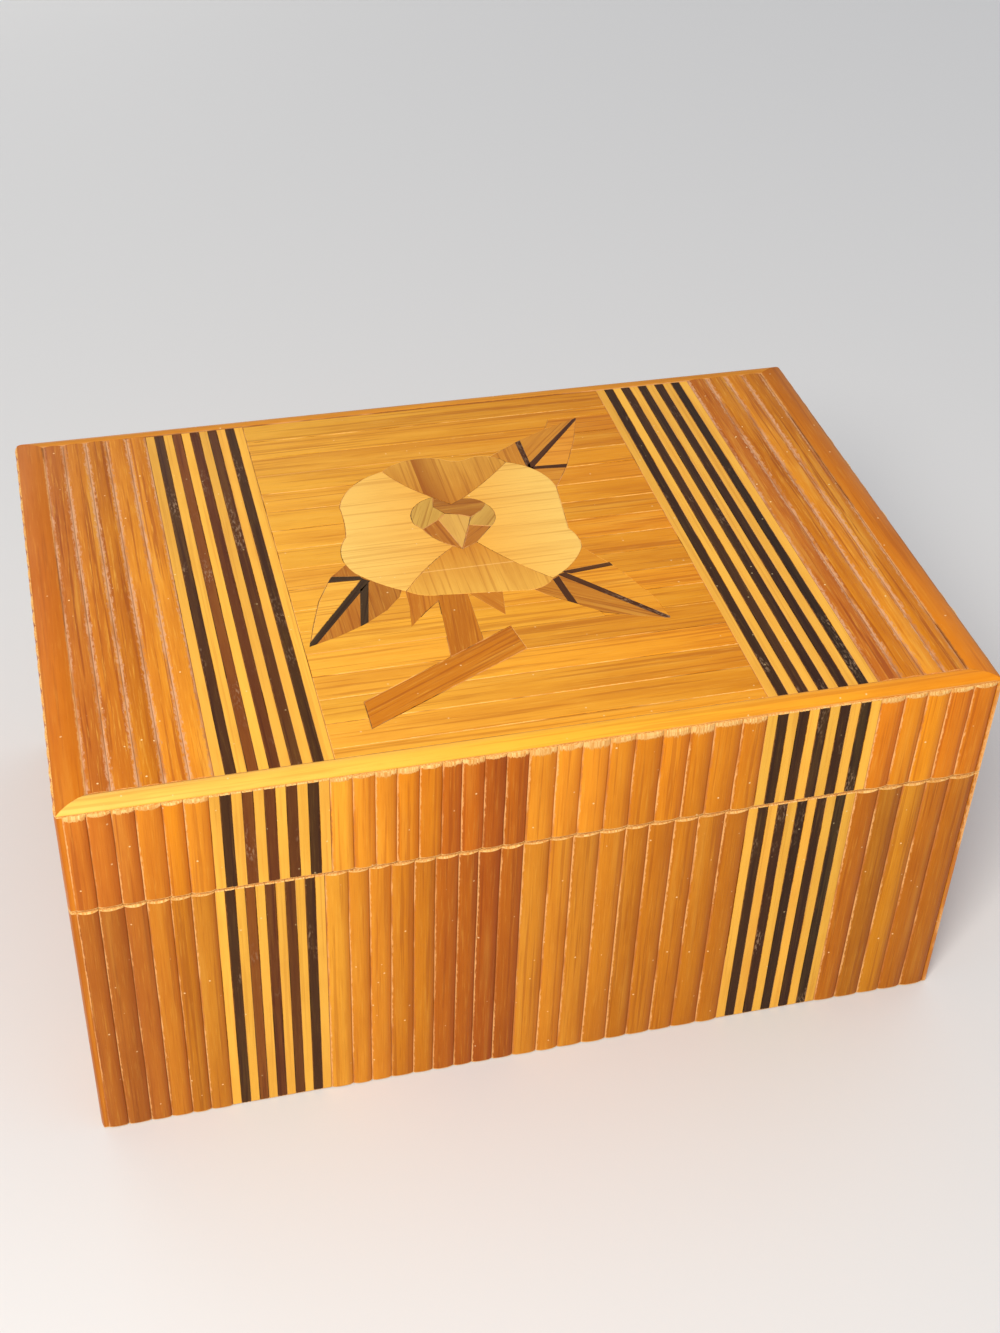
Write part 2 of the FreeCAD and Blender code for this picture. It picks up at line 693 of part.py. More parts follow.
def check():
    """Stops if anything failed to build."""
    failed = [thing.Name for thing in doc.Objects
              if "Invalid" in thing.State or "Error" in thing.State]
    failed += [thing.Label for thing in parts if thing.Shape.isNull() or not thing.Shape.isValid()]
    if failed:
        raise RuntimeError("not built: " + ", ".join(failed))


fill_sheet()
for half in ("base", "lid"):
    walls(half)
    front_covering(half)
    back_covering(half)
    end_covering(half)
bottom_board()
lid_top_board()
for side in HINGE_SIDES:
    hinge_leaf("base", side)
    hinge_leaf("lid", side)
    hinge_pin(side)
top_covering()
edgings()
field(flower())
doc.recompute()
check()
os.makedirs("parts", exist_ok=True)
for item in parts:
    item.Shape.exportStep(f"parts/{item.Label}.step")
    print(item.Label, len(item.Shape.Solids), round(item.Shape.Volume, 1))
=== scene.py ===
import math
import random
import bmesh
import bpy
from mathutils import Matrix, Vector
from mathutils.kdtree import KDTree


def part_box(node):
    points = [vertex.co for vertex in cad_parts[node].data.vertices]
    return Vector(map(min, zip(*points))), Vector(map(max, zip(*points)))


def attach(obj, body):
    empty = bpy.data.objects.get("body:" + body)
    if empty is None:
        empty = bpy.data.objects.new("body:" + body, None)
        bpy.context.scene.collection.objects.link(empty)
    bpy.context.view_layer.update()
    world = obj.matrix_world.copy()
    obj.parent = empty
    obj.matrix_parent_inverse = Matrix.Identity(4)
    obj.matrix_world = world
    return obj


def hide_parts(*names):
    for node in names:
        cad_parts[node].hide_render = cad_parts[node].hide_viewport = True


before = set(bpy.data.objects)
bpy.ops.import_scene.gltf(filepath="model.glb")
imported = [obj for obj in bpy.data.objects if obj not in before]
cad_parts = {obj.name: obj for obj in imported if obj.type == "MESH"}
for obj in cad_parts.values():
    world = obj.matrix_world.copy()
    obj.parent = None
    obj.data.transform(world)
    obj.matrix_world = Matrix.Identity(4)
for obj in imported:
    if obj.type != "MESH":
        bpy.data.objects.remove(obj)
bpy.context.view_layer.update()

# The view
# The box stands shut on a pale tabletop. It is seen from above and from a
# little to its left, with a soft window behind the viewer's shoulder.

MM = 0.001
UP = Vector((0, 0, 1))
EYE = Vector((-114.7, -433.2, 442.6)) * MM
LOOKED_AT = Vector((14.7, 21.8, 60.0)) * MM
CAMERA_ROLL = math.radians(2.47)
LENS = 51.05
TABLE_SIZE = 30.0
TABLE_PAINT = (226, 225, 223)
TABLE_ROUGHNESS = 0.7
SKY_LIGHT = (0.93, 0.95, 1.0, 1.0)
SKY_STRENGTH = 0.55


def linear(paint):
    """A paint given as it looks on a screen, 0 to 255, as light values."""
    shares = [value / 255 for value in paint]
    return [s / 12.92 if s <= 0.04045 else ((s + 0.055) / 1.055) ** 2.4 for s in shares]


def opaque(paint):
    """A paint as a shader takes it, with nothing showing through."""
    return (*linear(paint), 1)


def look_from(thing, place, target, roll=0.0):
    """Puts a camera or lamp at a place, facing a target."""
    ahead = (target - place).normalized()
    level = ahead.cross(UP).normalized()
    right = level * math.cos(roll) + level.cross(ahead) * math.sin(roll)
    turn = Matrix((right, right.cross(ahead), -ahead)).transposed()
    thing.matrix_world = Matrix.Translation(place) @ turn.to_4x4()
    bpy.context.scene.collection.objects.link(thing)


def lamp(name, place, size, power, paint):
    """A soft square lamp that faces the box."""
    light = bpy.data.lights.new(name, "AREA")
    light.size = size
    light.energy = power
    light.color = linear(paint)
    look_from(bpy.data.objects.new(name, light), Vector(place), LOOKED_AT)


camera = bpy.data.objects.new("camera", bpy.data.cameras.new("camera"))
camera.data.lens = LENS
look_from(camera, EYE, LOOKED_AT, CAMERA_ROLL)
bpy.context.scene.camera = camera
bpy.context.scene.view_settings.view_transform = "Standard"

lamp("window", (-0.36, -0.58, 0.72), size=0.28, power=6.6, paint=(255, 251, 245))
lamp("room", (1.1, 0.5, 1.0), size=1.2, power=2.0, paint=(246, 249, 255))
lamp("doorway", (-0.4, 1.4, 0.26), size=1.0, power=4.5, paint=(255, 252, 247))

world = bpy.data.worlds.new("room_light")
bpy.context.scene.world = world
world.use_nodes = True
sky = world.node_tree.nodes["Background"]
sky.inputs["Color"].default_value = SKY_LIGHT
sky.inputs["Strength"].default_value = SKY_STRENGTH

table_mesh = bpy.data.meshes.new("table")
reach = TABLE_SIZE / 2
corners = [(-reach, -reach, 0), (reach, -reach, 0), (reach, reach, 0), (-reach, reach, 0)]
table_mesh.from_pydata(corners, [], [(0, 1, 2, 3)])
table = bpy.data.objects.new("table", table_mesh)
bpy.context.scene.collection.objects.link(table)
table_paint = bpy.data.materials.new("table_paint")
table_paint.use_nodes = True
table_shader = table_paint.node_tree.nodes["Principled BSDF"]
table_shader.inputs["Base Color"].default_value = opaque(TABLE_PAINT)
table_shader.inputs["Roughness"].default_value = TABLE_ROUGHNESS
table_mesh.materials.append(table_paint)

# The carcass boards
# Plain sawn softwood, let in between one another at the corners and glued.
# They are bare inside, and the covering hides them outside.

BOARD_PAINT = (214, 178, 128)
BOARD_GRAIN_PAINT = (192, 149, 99)
BOARD_FIBRE_PAINT = (150, 108, 66)
BOARD_RING_SCALE = 160.0
BOARD_FIBRE_SCALE = 1400.0
BOARD_FIBRE_DEPTH = 0.12 * MM
BOARD_EDGE_ROUND = 0.25 * MM
WELD_GAP = 0.002 * MM
ROUNDING_STEPS = 2
BOARD_GRAIN = {"X": (0.05, 1.0, 1.0), "Y": (1.0, 0.05, 1.0)}


def add_node(tree, kind, sockets=(), **settings):
    """A shader node. Its sockets, by name or number, are linked or set."""
    made = tree.nodes.new("ShaderNode" + kind)
    for name, value in settings.items():
        setattr(made, name, value)
    for name, value in dict(sockets).items():
        if isinstance(value, bpy.types.NodeSocket):
            tree.links.new(value, made.inputs[name])
        else:
            made.inputs[name].default_value = value
    return made


def blend(tree, factor, first, second, how="MIX"):
    """Mixes two colours and gives the socket of the result."""
    made = add_node(tree, "Mix", {0: factor, 6: first, 7: second}, data_type="RGBA",
                    blend_type=how)
    return made.outputs[2]


def between(tree, value, low, high, result_low=0.0, result_high=1.0):
    """A value rescaled smoothly from one range to another."""
    sockets = {"Value": value, "From Min": low, "From Max": high,
               "To Min": result_low, "To Max": result_high}
    made = add_node(tree, "MapRange", sockets, interpolation_type="SMOOTHSTEP")
    return made.outputs["Result"]


def stretched(tree, coordinates, stretch):
    """Coordinates squeezed along the grain, so that what they carry runs along it."""
    made = add_node(tree, "VectorMath", {0: coordinates, 1: stretch}, operation="MULTIPLY")
    return made.outputs["Vector"]


def mottle(tree, coordinates, scale, detail=3.0, roughness=0.55):
    """Cloudy noise, from 0 to 1."""
    sockets = {"Vector": coordinates, "Scale": scale, "Detail": detail, "Roughness": roughness}
    return add_node(tree, "TexNoise", sockets).outputs["Fac"]


def bump(tree, height, depth):
    """A surface relief of a depth in metres."""
    return add_node(tree, "Bump", {"Height": height, "Distance": depth}).outputs["Normal"]


def new_material(name):
    """An empty material: its node tree and its shader."""
    material = bpy.data.materials.new(name)
    material.use_nodes = True
    tree = material.node_tree
    return material, tree, tree.nodes["Principled BSDF"]


def board_wood(axis):
    """Bare sawn softwood whose grain runs along one axis."""
    material, tree, shader = new_material("bare_wood_along_" + axis.lower())
    place = add_node(tree, "TexCoord").outputs["Object"]
    along = stretched(tree, place, BOARD_GRAIN[axis])
    rings = mottle(tree, along, BOARD_RING_SCALE, 4.0, 0.6)
    fibres = mottle(tree, along, BOARD_FIBRE_SCALE)
    colour = blend(tree, between(tree, rings, 0.42, 0.66), opaque(BOARD_PAINT),
                   opaque(BOARD_GRAIN_PAINT))
    shade = blend(tree, between(tree, fibres, 0.3, 0.7, 0.0, 0.35), colour,
                  opaque(BOARD_FIBRE_PAINT))
    tree.links.new(shade, shader.inputs["Base Color"])
    tree.links.new(between(tree, fibres, 0.2, 0.8, 0.62, 0.8), shader.inputs["Roughness"])
    tree.links.new(bump(tree, fibres, BOARD_FIBRE_DEPTH), shader.inputs["Normal"])
    return material


def refine(node, material, edge_round):
    """Dresses a frame part where it is: a finish, and softly rounded edges."""
    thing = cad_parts[node]
    thing.data.materials.clear()
    thing.data.materials.append(material)
    weld = thing.modifiers.new("joined_faces", "WELD")
    weld.merge_threshold = WELD_GAP
    soften = thing.modifiers.new("soft_edges", "BEVEL")
    soften.width = edge_round
    soften.segments = ROUNDING_STEPS
    soften.limit_method = "ANGLE"
    soften.harden_normals = False


along_x = board_wood("X")
along_y = board_wood("Y")
for half_name in ("base", "lid"):
    for side in ("front", "back"):
        refine(f"{half_name}_{side}_wall", along_x, BOARD_EDGE_ROUND)
    for side in ("left", "right"):
        refine(f"{half_name}_{side}_wall", along_y, BOARD_EDGE_ROUND)
refine("bottom_board", along_x, BOARD_EDGE_ROUND)
refine("lid_top_board", along_x, BOARD_EDGE_ROUND)

# The hinges
# Two small brass butt hinges, let into the sawn rims of the back walls. Each
# leaf is held by two countersunk slotted screws, driven in until flush.

BRASS_PAINT = (214, 172, 92)
TARNISH_PAINT = (128, 88, 40)
TARNISH_SCALE = 260.0
DRAWN_LINES = (0.04, 1.0, 1.0)
DRAWN_LINE_SCALE = 2600.0
DRAWN_LINE_DEPTH = 0.03 * MM
# A cone's radius below and at the top, its top over the leaf, and its depth
COUNTERSINK = (0.82 * MM, 1.70 * MM, 0.1 * MM, 0.88 * MM)
SCREW_HEAD = (0.68 * MM, 1.50 * MM, -0.03 * MM, 0.6 * MM)
SCREW_SLOT = (4.0 * MM, 0.42 * MM, 0.8 * MM)
SCREW_PLACES = (-7.5 * MM, 7.5 * MM)
SCREW_SIDES = 28
LEAF_EDGE_ROUND = 0.12 * MM
LEAF_SHARP_FROM = math.radians(40)
LEAF_GAP = 0.045 * MM
FLAT_BELOW = 20.0


def brass():
    """Drawn brass, dulled by handling, with cloudy patches of tarnish."""
    material, tree, shader = new_material("brass")
    place = add_node(tree, "TexCoord").outputs["Object"]
    clouds = mottle(tree, place, TARNISH_SCALE, 4.0)
    lines = mottle(tree, stretched(tree, place, DRAWN_LINES), DRAWN_LINE_SCALE, 2.0)
    colour = blend(tree, between(tree, clouds, 0.45, 0.75, 0.0, 0.8), opaque(BRASS_PAINT),
                   opaque(TARNISH_PAINT))
    tree.links.new(colour, shader.inputs["Base Color"])
    tree.links.new(between(tree, clouds, 0.3, 0.7, 0.26, 0.5), shader.inputs["Roughness"])
    tree.links.new(bump(tree, lines, DRAWN_LINE_DEPTH), shader.inputs["Normal"])
    shader.inputs["Metallic"].default_value = 1.0
    return material


def merged_copy(node):
    """A frame part's mesh with the corners of its faces joined."""
    mesh = bmesh.new()
    mesh.from_mesh(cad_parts[node].data)
    bmesh.ops.remove_doubles(mesh, verts=mesh.verts, dist=WELD_GAP)
    return mesh


def add_piece(name, mesh, body, material, smooth_below=35.0):
    """A piece of the object from its mesh, riding on one half of the box."""
    data = bpy.data.meshes.new(name)
    mesh.to_mesh(data)
    mesh.free()
    data.materials.append(material)
    data.shade_smooth()
    data.set_sharp_from_angle(angle=math.radians(smooth_below))
    piece = bpy.data.objects.new(name, data)
    bpy.context.scene.collection.objects.link(piece)
    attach(piece, body)
    return piece


def cut_away(piece, tool_mesh):
    """Saws one mesh out of a piece and keeps what is left."""
    tool_data = bpy.data.meshes.new("cutter")
    tool_mesh.to_mesh(tool_data)
    tool_mesh.free()
    tool = bpy.data.objects.new("cutter", tool_data)
    bpy.context.scene.collection.objects.link(tool)
    cutter = piece.modifiers.new("cutter", "BOOLEAN")
    cutter.object = tool
    cutter.operation = "DIFFERENCE"
    cutter.solver = "EXACT"
    bpy.context.view_layer.update()
    left_over = bpy.data.meshes.new_from_object(
        piece.evaluated_get(bpy.context.evaluated_depsgraph_get()))
    piece.modifiers.clear()
    piece.data = left_over
    bpy.data.objects.remove(tool)


def cones(spots, facing, narrow, wide, top, depth):
    """Cones that widen towards a leaf's face, as its holes and screw heads do."""
    low_radius, high_radius = (narrow, wide) if facing > 0 else (wide, narrow)
    mesh = bmesh.new()
    for spot in spots:
        middle = Matrix.Translation(spot + Vector((0, 0, facing * (top - depth / 2))))
        bmesh.ops.create_cone(mesh, cap_ends=True, segments=SCREW_SIDES, radius1=low_radius,
                              radius2=high_radius, depth=depth, matrix=middle)
    return mesh


def slots(spots, chance):
    """The saw cuts across the screw heads, each left at an angle of its own."""
    mesh = bmesh.new()
    for spot in spots:
        turn = Matrix.Rotation(chance.uniform(0, math.pi), 4, "Z")
        size = Matrix.Diagonal((*SCREW_SLOT, 1))
        bmesh.ops.create_cube(mesh, size=1.0, matrix=Matrix.Translation(spot) @ turn @ size)
    return mesh


brass_finish = brass()
chance = random.Random("hinges")
for side in ("left", "right"):
    refine(f"{side}_hinge_pin", brass_finish, LEAF_EDGE_ROUND)
    pin_low, pin_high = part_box(f"{side}_hinge_pin")
    for half_name, facing in (("base", 1), ("lid", -1)):
        node = f"{side}_hinge_{half_name}_leaf"
        low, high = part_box(node)
        wall_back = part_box(f"{half_name}_back_wall")[1].y
        leaf_face = (pin_low.z + pin_high.z) / 2 - facing * LEAF_GAP
        spots = [Vector(((low.x + high.x) / 2 + offset, (low.y + wall_back) / 2, leaf_face))
                 for offset in SCREW_PLACES]
        mesh = merged_copy(node)
        sharp = [edge for edge in mesh.edges
                 if len(edge.link_faces) == 2 and edge.calc_face_angle() > LEAF_SHARP_FROM]
        bmesh.ops.bevel(mesh, geom=sharp, offset=LEAF_EDGE_ROUND, segments=ROUNDING_STEPS,
                        profile=0.5, affect="EDGES", clamp_overlap=True)
        leaf = add_piece(f"{side}_{half_name}_leaf_drilled", mesh, half_name,
                         brass_finish, FLAT_BELOW)
        cut_away(leaf, cones(spots, facing, *COUNTERSINK))
        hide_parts(node)
        screws = add_piece(f"{side}_{half_name}_screws", cones(spots, facing, *SCREW_HEAD),
                           half_name, brass_finish)
        cut_away(screws, slots(spots, chance))

# The flat stripes
# Pale and blackened straw splints, split flat and glued side by side. Two
# bands of them run down the front, over the lid and down the back.

VENEER = 1.5 * MM
STRIP_ROUND = 0.18 * MM
JOINT_REACH = 2.2
JOINT_SHARE = 0.4
WORN_END = 0.5 * MM
FACES_OUT = 0.95
END_FACES_ALONG = 0.9
END_FACES_OUT = 0.1
POINT_STEPS = 1e7
RIGHTWARD = Vector((1, 0, 0))
AWAY = Vector((0, 1, 0))
# Each side of the box: its way to the right as one looks at it, and its way up
DIRECTIONS = {
    "front": (RIGHTWARD, UP),
    "right": (AWAY, UP),
    "back": (-RIGHTWARD, UP),
    "left": (-AWAY, UP),
    "top": (RIGHTWARD, AWAY),
}
LIGHT_PAINT = (247, 182, 66)
DARK_PAINTS = ((78, 44, 10), (128, 68, 14), (108, 56, 10), (98, 52, 8), (74, 42, 6),
               (66, 37, 6), (70, 38, 8), (60, 32, 6), (64, 34, 6), (52, 30, 6))
STRIPE_SPREAD = {"light": 0.06, "dark": 0.16}
STRIPE_FADES = (0.85, 1.05)
WARMTH_SHARE = 0.4
GLUE_PAINT = (120, 66, 20)
SEAM_PAINT = (232, 168, 92)
RAW_PAINT = (250, 206, 130)
RAW_SHADE = (222, 150, 66)
GRAIN_DARKENS = (0.72, 0.56, 0.36)
RUBBED_PAINT = (255, 198, 84)
SMUDGE_PAINT = (188, 152, 116)
DUST_PAINT = (255, 222, 160)
SCORCH_WAVER = 6 * MM
SCORCH_EDGE = 0.2 * MM
DUST_SCALE = 300.0
VARNISH = {"Specular IOR Level": 0.13, "Coat Weight": 0.05, "Coat Roughness": 0.28}
# Noises along the grain: how far each is drawn out, its scale, detail and roughness
FIBRES = (0.04, 2100.0, 4.0, 0.65)
BANDS = (0.05, 240.0, 2.0, 0.55)
CLOUDS = (0.4, 95.0, 3.0, 0.55)
GRIT = (0.3, 1900.0, 3.0, 0.6)


def math_of(tree, operation, first, second=0.0):
    """A sum, a product or the like of one or two values."""
    made = add_node(tree, "Math", {0: first, 1: second}, operation=operation)
    return made.outputs["Value"]


def mark(tree, name, output="Fac"):
    """What a mesh's marks say at each point."""
    return add_node(tree, "Attribute", attribute_name=name).outputs[output]


def drawn_out(tree, grain, share, scale, detail, roughness):
    """A noise drawn out along a strip's grain."""
    return mottle(tree, stretched(tree, grain, (1.0, share, 1.0)), scale, detail, roughness)


def wobble(tree, noise, reach):
    """A noise made to swing about zero."""
    return math_of(tree, "MULTIPLY", math_of(tree, "SUBTRACT", noise, 0.5), reach)


def straw(name, glue=GLUE_PAINT, seam=SEAM_PAINT, shade=0.35, streaks=0.5, line_scale=900.0,
          relief=0.10, gloss=0.36, rubbed=0.25, specks=0.6, broken=0.7, seam_share=1.0,
          smudges=0.0, scorch=None, crack=None):
    """Varnished straw: fibres and grain lines over each strip's own tint."""
    material, tree, shader = new_material(name)
    tint = mark(tree, "tint", "Color")
    grain = mark(tree, "grain", "Vector")
    rim, raw, worn = (mark(tree, kind) for kind in ("rim", "raw", "worn"))
    fibres, bands, clouds, grit = (drawn_out(tree, grain, *noise)
                                   for noise in (FIBRES, BANDS, CLOUDS, GRIT))
    lines = drawn_out(tree, grain, 0.016, line_scale, 3.0, 0.5)
    darker = blend(tree, 1.0, tint, (*GRAIN_DARKENS, 1), "MULTIPLY")
    deepest = blend(tree, 1.0, darker, (*GRAIN_DARKENS, 1), "MULTIPLY")
    paler = blend(tree, 0.45, tint, opaque(RUBBED_PAINT))
    # Each layer: its noise, where that starts and ends to show, how strongly, and what it lays on
    layers = ((clouds, 0.40, 0.72, shade, darker),
              (bands, 0.46, 0.66, streaks * 0.8, darker),
              (bands, 0.44, 0.30, rubbed, paler),
              (lines, 0.55, 0.63, streaks, deepest),
              (fibres, 0.52, 0.74, rubbed * 1.6, paler),
              (fibres, 0.48, 0.28, streaks, darker))
    colour = tint
    for noise, from_value, to_value, strength, laid_on in layers:
        colour = blend(tree, between(tree, noise, from_value, to_value, 0.0, strength), colour,
                       laid_on)
    if scorch:
        colour = blend(tree, scorched(tree, clouds, *scorch), colour, deepest)
    if crack:
        colour = blend(tree, cracked(tree, grit, *crack), colour, opaque(seam))
    if smudges:
        scuffed = math_of(tree, "MULTIPLY", between(tree, clouds, 0.56, 0.68, 0.0, smudges),
                          between(tree, grit, 0.48, 0.62))
        colour = blend(tree, scuffed, colour, opaque(SMUDGE_PAINT))
    cells = add_node(tree, "TexVoronoi", {"Vector": grain, "Scale": DUST_SCALE}, feature="F1")
    dots = between(tree, cells.outputs["Distance"], 0.10, 0.05)
    chosen = between(tree, cells.outputs["Color"], 0.62, 0.66)
    dust = math_of(tree, "MULTIPLY", math_of(tree, "MULTIPLY", dots, chosen), specks)
    colour = blend(tree, dust, colour, opaque(DUST_PAINT))
    # A rim mark below zero, along the right side of a cane slat, darkens the colour: painted
    # shade.
    colour = blend(tree, between(tree, rim, -0.05, -1.0, 0.0, 0.8), colour, darker)
    # A rim mark above zero lays on the seam colour: glue and dust at joints, and on a cane slat's
    # left edge partly a painted highlight.
    patchy = between(tree, clouds, 0.40, 0.54)
    seam_colour = blend(tree, patchy, opaque(glue), opaque(seam))
    uneven = math_of(tree, "ADD", rim, wobble(tree, grit, broken * 2))
    colour = blend(tree, between(tree, uneven, 0.30, 0.90, 0.0, seam_share), colour, seam_colour)
    torn = math_of(tree, "ADD", worn, wobble(tree, fibres, 1.5))
    frayed = between(tree, torn, 0.35, 0.55)
    bare = blend(tree, between(tree, fibres, 0.35, 0.65), opaque(RAW_PAINT), opaque(RAW_SHADE))
    colour = blend(tree, math_of(tree, "MAXIMUM", raw, frayed), colour, bare)
    tree.links.new(colour, shader.inputs["Base Color"])
    rough = between(tree, clouds, 0.3, 0.7, gloss, gloss + 0.16)
    tree.links.new(math_of(tree, "ADD", rough, math_of(tree, "MULTIPLY", raw, 0.35)),
                   shader.inputs["Roughness"])
    height = math_of(tree, "SUBTRACT", math_of(tree, "MULTIPLY", fibres, 0.5), lines)
    tree.links.new(bump(tree, height, relief * MM), shader.inputs["Normal"])
    for socket, value in VARNISH.items():
        shader.inputs[socket].default_value = value
    return material


def place_along(tree, axis):
    """How far along an axis each point lies, in metres."""
    place = add_node(tree, "TexCoord").outputs["Object"]
    return add_node(tree, "SeparateXYZ", {"Vector": place}).outputs[axis]


def scorched(tree, clouds, axis, dark_at, pale_at, depth):
    """How far hot sand has browned an inlay: darkest at one line, then fading."""
    along = place_along(tree, axis)
    waver = math_of(tree, "ADD", along, wobble(tree, clouds, SCORCH_WAVER))
    fade = between(tree, waver, pale_at, dark_at, 0.0, depth)
    before = dark_at + (SCORCH_EDGE if dark_at > pale_at else -SCORCH_EDGE)
    return math_of(tree, "MULTIPLY", fade, between(tree, along, before, dark_at))


def cracked(tree, grit, axis, place, half_width, depth):
    """A hairline split across an inlay at one place, filled with pale dust."""
    waver = math_of(tree, "ADD", place_along(tree, axis), wobble(tree, grit, half_width))
    offset = math_of(tree, "SUBTRACT", waver, place)
    return between(tree, math_of(tree, "ABSOLUTE", offset), half_width, 0.0, 0.0, depth)


def facing_patches(node, outward):
    """The faces of a frame part that look outward, one list of triangles each."""
    mesh = bmesh.new()
    mesh.from_mesh(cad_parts[node].data)
    seen = set()
    patches = []
    for start in mesh.faces:
        if start in seen:
            continue
        seen.add(start)
        patch = [start]
        for face in patch:
            for edge in face.edges:
                for neighbour in edge.link_faces:
                    if neighbour not in seen:
                        seen.add(neighbour)
                        patch.append(neighbour)
        normal = sum((face.normal * face.calc_area() for face in patch), Vector())
        if normal.normalized().dot(outward) > FACES_OUT:
            patches.append([[corner.co.copy() for corner in face.verts] for face in patch])
    mesh.free()
    return patches


def add_marks(mesh):
    """Adds the marks that the straw finish reads."""
    return {
        "tint": mesh.verts.layers.float_color.new("tint"),
        "grain": mesh.verts.layers.float_vector.new("grain"),
        "rim": mesh.verts.layers.float.new("rim"),
        "worn": mesh.verts.layers.float.new("worn"),
        "raw": mesh.faces.layers.float.new("raw"),
    }


def outline_of(patch):
    """The border of a flat patch of triangles, as one loop of points."""
    following = {}
    for triangle in patch:
        keys = [tuple(round(c * POINT_STEPS) for c in point) for point in triangle]
        for k in range(3):
            following[keys[k - 1], keys[k]] = triangle[k]
    edges = {a: (b, point) for (a, b), point in following.items() if (b, a) not in following}
    key = next(iter(edges))
    loop = []
    while key in edges:
        key, point = edges.pop(key)
        loop.append(point)
    return loop


def narrowest(loop):
    """The least room between a corner of an outline and a side it isn't on."""
    room = []
    for k, corner in enumerate(loop):
        for j in range(len(loop)):
            following = (j + 1) % len(loop)
            if k in (j, following):
                continue
            side = loop[following] - loop[j]
            share = (corner - loop[j]).dot(side) / side.length_squared
            nearest = loop[j] + side * min(1.0, max(0.0, share))
            room.append((nearest - corner).length)
    return min(room)


def lay_tile(mesh, marks, patch, outward, tint, along, seed, joint=STRIP_ROUND,
             worn_ends=False):
    """A flat strip or inlay: its outline sunk by a veneer's depth, with a soft rim."""
    loop = outline_of(patch)
    joint = min(joint, JOINT_SHARE * narrowest(loop)) if len(loop) > 3 else joint
    verts = [mesh.verts.new(point) for point in loop]
    top = mesh.faces.new(verts)
    top.normal_update()
    if top.normal.dot(outward) < 0:
        top.normal_flip()
    grown = bmesh.ops.extrude_face_region(mesh, geom=[top])["geom"]
    crown = [item for item in grown if isinstance(item, bmesh.types.BMFace)][0]
    lower = set(verts)
    bmesh.ops.translate(mesh, verts=verts, vec=-outward * VENEER)
    height = crown.verts[0].co.dot(outward)
    before = set(mesh.verts)
    bmesh.ops.bevel(mesh, geom=list(crown.edges), offset=joint, segments=ROUNDING_STEPS,
                    profile=0.5, affect="EDGES", clamp_overlap=True)
    fresh = [vert for vert in mesh.verts if vert not in before]
    fresh += [vert for vert in lower if vert.is_valid]
    if worn_ends:
        lengths = [vert.co.dot(along) for vert in fresh]
        for end in (min(lengths) + WORN_END, max(lengths) - WORN_END):
            faces = {face for vert in fresh for face in vert.link_faces}
            edges = {edge for face in faces for edge in face.edges}
            cut = bmesh.ops.bisect_plane(mesh, geom=list(faces) + list(edges) + fresh,
                                         plane_co=along * end, plane_no=along)["geom_cut"]
            fresh += [item for item in cut if isinstance(item, bmesh.types.BMVert)]
    across = outward.cross(along)
    start = Vector((seed.random(), seed.random(), seed.random()))
    for face in {face for vert in fresh for face in vert.link_faces}:
        face.normal_update()
        lengthways = abs(face.normal.dot(along))
        if lengthways > END_FACES_ALONG and face.normal.dot(outward) < END_FACES_OUT:
            face[marks["raw"]] = 1.0
    for vert in set(fresh):
        vert[marks["tint"]] = (*tint(vert.co), 1)
        drop = height - vert.co.dot(outward)
        vert[marks["grain"]] = Vector((vert.co.dot(across), vert.co.dot(along), drop)) + start
        vert[marks["rim"]] = min(1.0, JOINT_REACH * drop / joint)
        if worn_ends:
            reach = min(vert.co.dot(along) - min(lengths), max(lengths) - vert.co.dot(along))
            vert[marks["worn"]] = 1 - min(1.0, reach / WORN_END)


def toned(paint, spread, chooser):
    """A paint made a little lighter or darker, evenly over one strip."""
    factor = 1 + chooser.uniform(-spread, spread)
    warmth = 1 + chooser.uniform(-spread, spread) * WARMTH_SHARE
    red, green, blue = linear(paint)
    return Vector((red * factor, green * factor * warmth, blue * factor))


def faded(first, second, low, high, axis):
    """A tint that runs from one colour to another along an axis."""
    def tint(place):
        share = (place[axis] - low) / (high - low)
        return first.lerp(second, min(1.0, max(0.0, share)))
    return tint


light_straw = straw("light_straw", glue=(150, 84, 26), shade=0.24, streaks=0.22, rubbed=0.16)
dark_straw = straw("dark_straw", glue=(44, 26, 12), seam=(150, 96, 50), shade=0.5, streaks=0.6,
                   rubbed=0.05, specks=0.35, broken=1.0, smudges=0.45)


def lay_stripes(name, faces, body, tone):
    """The stripes of one tone on one or more faces of a half of the box."""
    chooser = random.Random(name)
    mesh = bmesh.new()
    marks = add_marks(mesh)
    for face, node in faces:
        rightward, along = DIRECTIONS[face]
        outward = rightward.cross(along)
        patches = facing_patches(node, outward)
        patches.sort(key=lambda patch: patch[0][0].dot(rightward))
        for number, patch in enumerate(patches):
            paint = LIGHT_PAINT if tone == "light" else DARK_PAINTS[number % len(DARK_PAINTS)]
            first = toned(paint, STRIPE_SPREAD[tone], chooser)
            second = first * chooser.uniform(*STRIPE_FADES)
            axis = 2 if along == UP else 1
            ends = [corner[axis] for triangle in patch for corner in triangle]
            tint = faded(first, second, min(ends), max(ends), axis)
            lay_tile(mesh, marks, patch, outward, tint, along, chooser, worn_ends=face != "top")
    material = light_straw if tone == "light" else dark_straw
    piece = add_piece(name, mesh, body, material, FLAT_BELOW)
    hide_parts(*[node for face, node in faces])


for half_name in ("base", "lid"):
    for tone in ("light", "dark"):
        for face in ("front", "back"):
            lay_stripes(f"{half_name}_{face}_{tone}_splints",
                        [(face, f"{half_name}_{face}_{tone}_stripes")], half_name, tone)
for tone in ("light", "dark"):
    lay_stripes(f"top_{tone}_splints", [("top", f"top_{tone}_stripes")], "lid", tone)

# The half-round slats
# Split cane, rounded outside and flat where it is glued, stained from straw
# yellow to rust. The sawn ends are sanded to pale scallops.

